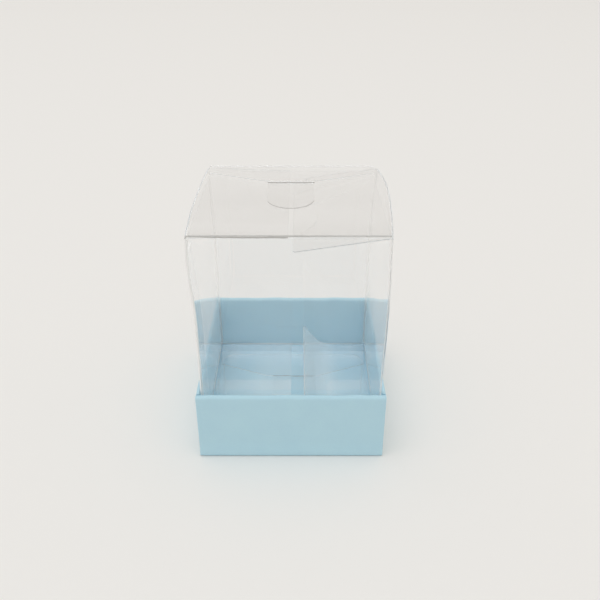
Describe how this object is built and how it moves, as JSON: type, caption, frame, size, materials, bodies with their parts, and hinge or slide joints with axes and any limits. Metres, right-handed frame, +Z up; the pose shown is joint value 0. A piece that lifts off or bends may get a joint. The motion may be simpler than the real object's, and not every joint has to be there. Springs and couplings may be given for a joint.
{
  "type": "clear plastic box",
  "caption": "Clear folding gift box with tongue-lock end flaps, standing in a shallow pale blue card tray that it lifts out of.",
  "frame": {"origin": "centre of the tray's underside, on the surface that it stands on", "axes": "+Z up along the box's height, +X to the right across its width, -Y towards the front"},
  "size_m": [0.0524, 0.0534, 0.0692],
  "materials": {
    "clear_sheet": "clear gloss PET sheet, 0.3 mm",
    "blue_card": "uncoated matte pale blue card"
  },
  "bodies": {
    "tray": {"tray_floor": "blue_card", "tray_front_wall": "blue_card", "tray_front_turn_in": "blue_card", "tray_back_wall": "blue_card", "tray_back_turn_in": "blue_card", "tray_left_wall": "blue_card", "tray_left_turn_in": "blue_card", "tray_right_wall": "blue_card", "tray_right_turn_in": "blue_card", "tray_front_left_tab": "blue_card", "tray_front_right_tab": "blue_card", "tray_back_left_tab": "blue_card", "tray_back_right_tab": "blue_card"},
    "sleeve": {"box_front_wall": "clear_sheet", "box_back_wall": "clear_sheet", "box_left_wall": "clear_sheet", "box_right_wall": "clear_sheet", "box_glue_flap": "clear_sheet", "base_slit_flap": "clear_sheet", "base_tongue_flap": "clear_sheet"},
    "top_slit_flap": {"top_slit_flap": "clear_sheet"},
    "top_tongue_flap": {"top_tongue_flap": "clear_sheet"},
    "top_left_dust_flap": {"top_left_dust_flap": "clear_sheet"},
    "top_right_dust_flap": {"top_right_dust_flap": "clear_sheet"},
    "base_left_dust_flap": {"base_left_dust_flap": "clear_sheet"},
    "base_right_dust_flap": {"base_right_dust_flap": "clear_sheet"}
  },
  "joints": [
    {"name": "sleeve_lift", "type": "slide", "parent": "tray", "child": "sleeve", "axis": [0, 0, 1], "range_m": [0, 0.06]},
    {"name": "top_slit_flap_hinge", "type": "hinge", "parent": "sleeve", "child": "top_slit_flap", "pos_m": [0, -0.0246, 0.06895], "axis": [1, 0, 0], "range_deg": [0, 120]},
    {"name": "top_tongue_flap_hinge", "type": "hinge", "parent": "sleeve", "child": "top_tongue_flap", "pos_m": [0, 0.0246, 0.06905], "axis": [-1, 0, 0], "range_deg": [0, 120], "deforming": ["top_tongue_flap"]},
    {"name": "top_left_dust_flap_hinge", "type": "hinge", "parent": "sleeve", "child": "top_left_dust_flap", "pos_m": [-0.0247, 0, 0.06809], "axis": [0, 1, 0], "range_deg": [0, 75]},
    {"name": "top_right_dust_flap_hinge", "type": "hinge", "parent": "sleeve", "child": "top_right_dust_flap", "pos_m": [0.0247, 0, 0.06809], "axis": [0, -1, 0], "range_deg": [-8, 65]},
    {"name": "base_left_dust_flap_hinge", "type": "hinge", "parent": "sleeve", "child": "base_left_dust_flap", "pos_m": [-0.0247, 0, 0.00496], "axis": [0, -1, 0], "range_deg": [0, 70]},
    {"name": "base_right_dust_flap_hinge", "type": "hinge", "parent": "sleeve", "child": "base_right_dust_flap", "pos_m": [0.0247, 0, 0.00496], "axis": [0, 1, 0], "range_deg": [0, 60]}
  ]
}
